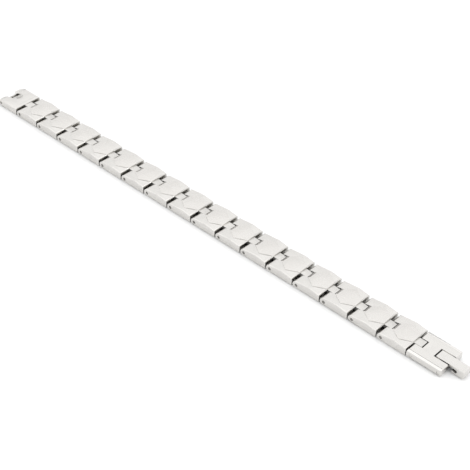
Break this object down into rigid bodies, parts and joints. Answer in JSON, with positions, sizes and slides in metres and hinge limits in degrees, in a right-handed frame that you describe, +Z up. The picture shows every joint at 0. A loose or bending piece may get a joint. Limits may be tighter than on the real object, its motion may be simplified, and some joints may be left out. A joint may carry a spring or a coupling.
{
  "type": "magnetic bracelet",
  "caption": "Flat linked bracelet in polished steel, unfastened and laid straight, with hexagon-topped links on hinge pins and a fold-over hook clasp.",
  "frame": {"origin": "middle of the bracelet's length and width, on the surface that it lies on", "axes": "+X along the band from the slotted end link to the clasp hook, +Y across the band away from the viewer, +Z up, out of the decorated face"},
  "size_m": [0.2106, 0.0116, 0.0037],
  "materials": {
    "link_steel": "polished",
    "end_steel": "polished",
    "lever_steel": "polished",
    "pin_steel": "turned",
    "magnet": "ground"
  },
  "bodies": {
    "band": {"fork_link": "end_steel", "clasp_bar": "pin_steel", "link_01": "link_steel", "link_02": "link_steel", "link_03": "link_steel", "link_04": "link_steel", "link_05": "link_steel", "link_06": "link_steel", "link_07": "link_steel", "link_08": "link_steel", "link_09": "link_steel", "link_10": "link_steel", "link_11": "link_steel", "link_12": "link_steel", "link_13": "link_steel", "link_14": "link_steel", "link_15": "link_steel", "link_16": "link_steel", "clasp_link": "end_steel", "lever_pin": "pin_steel", "hinge_pin_01": "pin_steel", "hinge_pin_02": "pin_steel", "hinge_pin_03": "pin_steel", "hinge_pin_04": "pin_steel", "hinge_pin_05": "pin_steel", "hinge_pin_06": "pin_steel", "hinge_pin_07": "pin_steel", "hinge_pin_08": "pin_steel", "hinge_pin_09": "pin_steel", "hinge_pin_10": "pin_steel", "hinge_pin_11": "pin_steel", "hinge_pin_12": "pin_steel", "hinge_pin_13": "pin_steel", "hinge_pin_14": "pin_steel", "hinge_pin_15": "pin_steel", "hinge_pin_16": "pin_steel", "hinge_pin_17": "pin_steel", "magnet_01": "magnet", "magnet_02": "magnet", "magnet_03": "magnet", "magnet_04": "magnet", "magnet_05": "magnet", "magnet_06": "magnet", "magnet_07": "magnet", "magnet_08": "magnet", "magnet_09": "magnet", "magnet_10": "magnet", "magnet_11": "magnet", "magnet_12": "magnet", "magnet_13": "magnet", "magnet_14": "magnet", "magnet_15": "magnet", "magnet_16": "magnet"},
    "lever": {"clasp_lever": "lever_steel"}
  },
  "joints": [
    {"name": "lever_hinge", "type": "hinge", "parent": "band", "child": "lever", "pos_m": [0.0985, 0, 0.00145], "axis": [0, 1, 0], "range_deg": [0, 90]}
  ]
}
